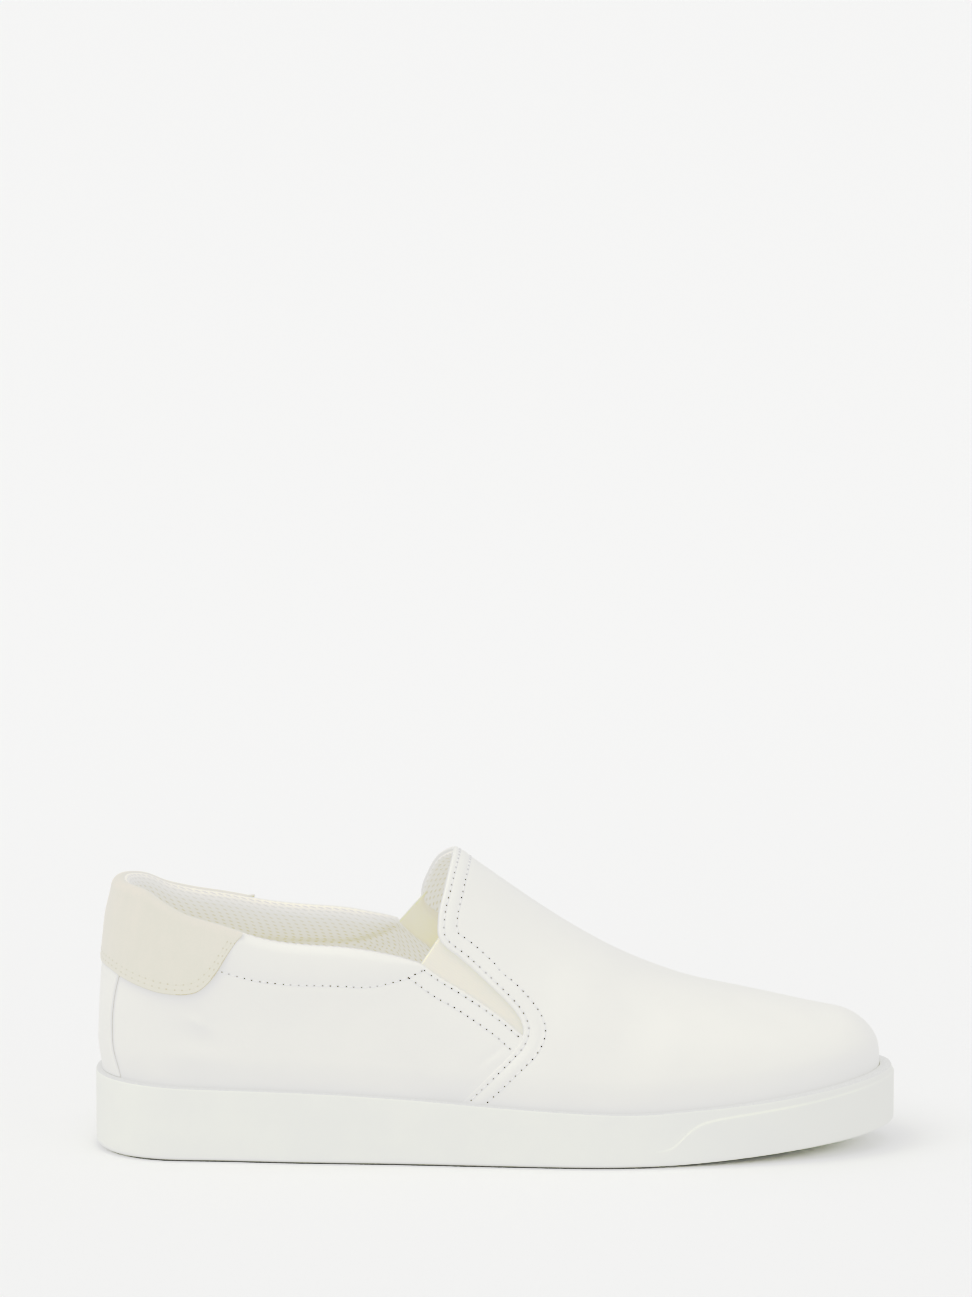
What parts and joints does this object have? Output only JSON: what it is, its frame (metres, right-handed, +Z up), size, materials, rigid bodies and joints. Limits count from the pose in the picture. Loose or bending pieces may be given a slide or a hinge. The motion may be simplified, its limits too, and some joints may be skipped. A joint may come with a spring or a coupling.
{
  "type": "slip-on sneaker",
  "caption": "Low slip-on sneaker with a smooth leather upper, elastic side gores, a suede heel patch and a moulded cup sole.",
  "frame": {"origin": "on the floor under the middle of the shoe's floor rectangle", "axes": "+X from the heel to the toe, +Y from the outer side to the inner side of the foot, +Z up"},
  "size_m": [0.275, 0.0921, 0.1035],
  "materials": {
    "sole_rubber": "matte moulded rubber, off-white",
    "knit_lining": "cream spacer knit",
    "smooth_leather": "smooth white leather, low sheen",
    "elastic": "cream ribbed elastic webbing",
    "suede": "beige suede with a short nap"
  },
  "bodies": {
    "root": {"sole": "sole_rubber", "insole": "knit_lining", "upper": "smooth_leather", "gore_lateral": "elastic", "gore_medial": "elastic", "heel_patch": "suede", "backstay": "smooth_leather"}
  },
  "joints": []
}
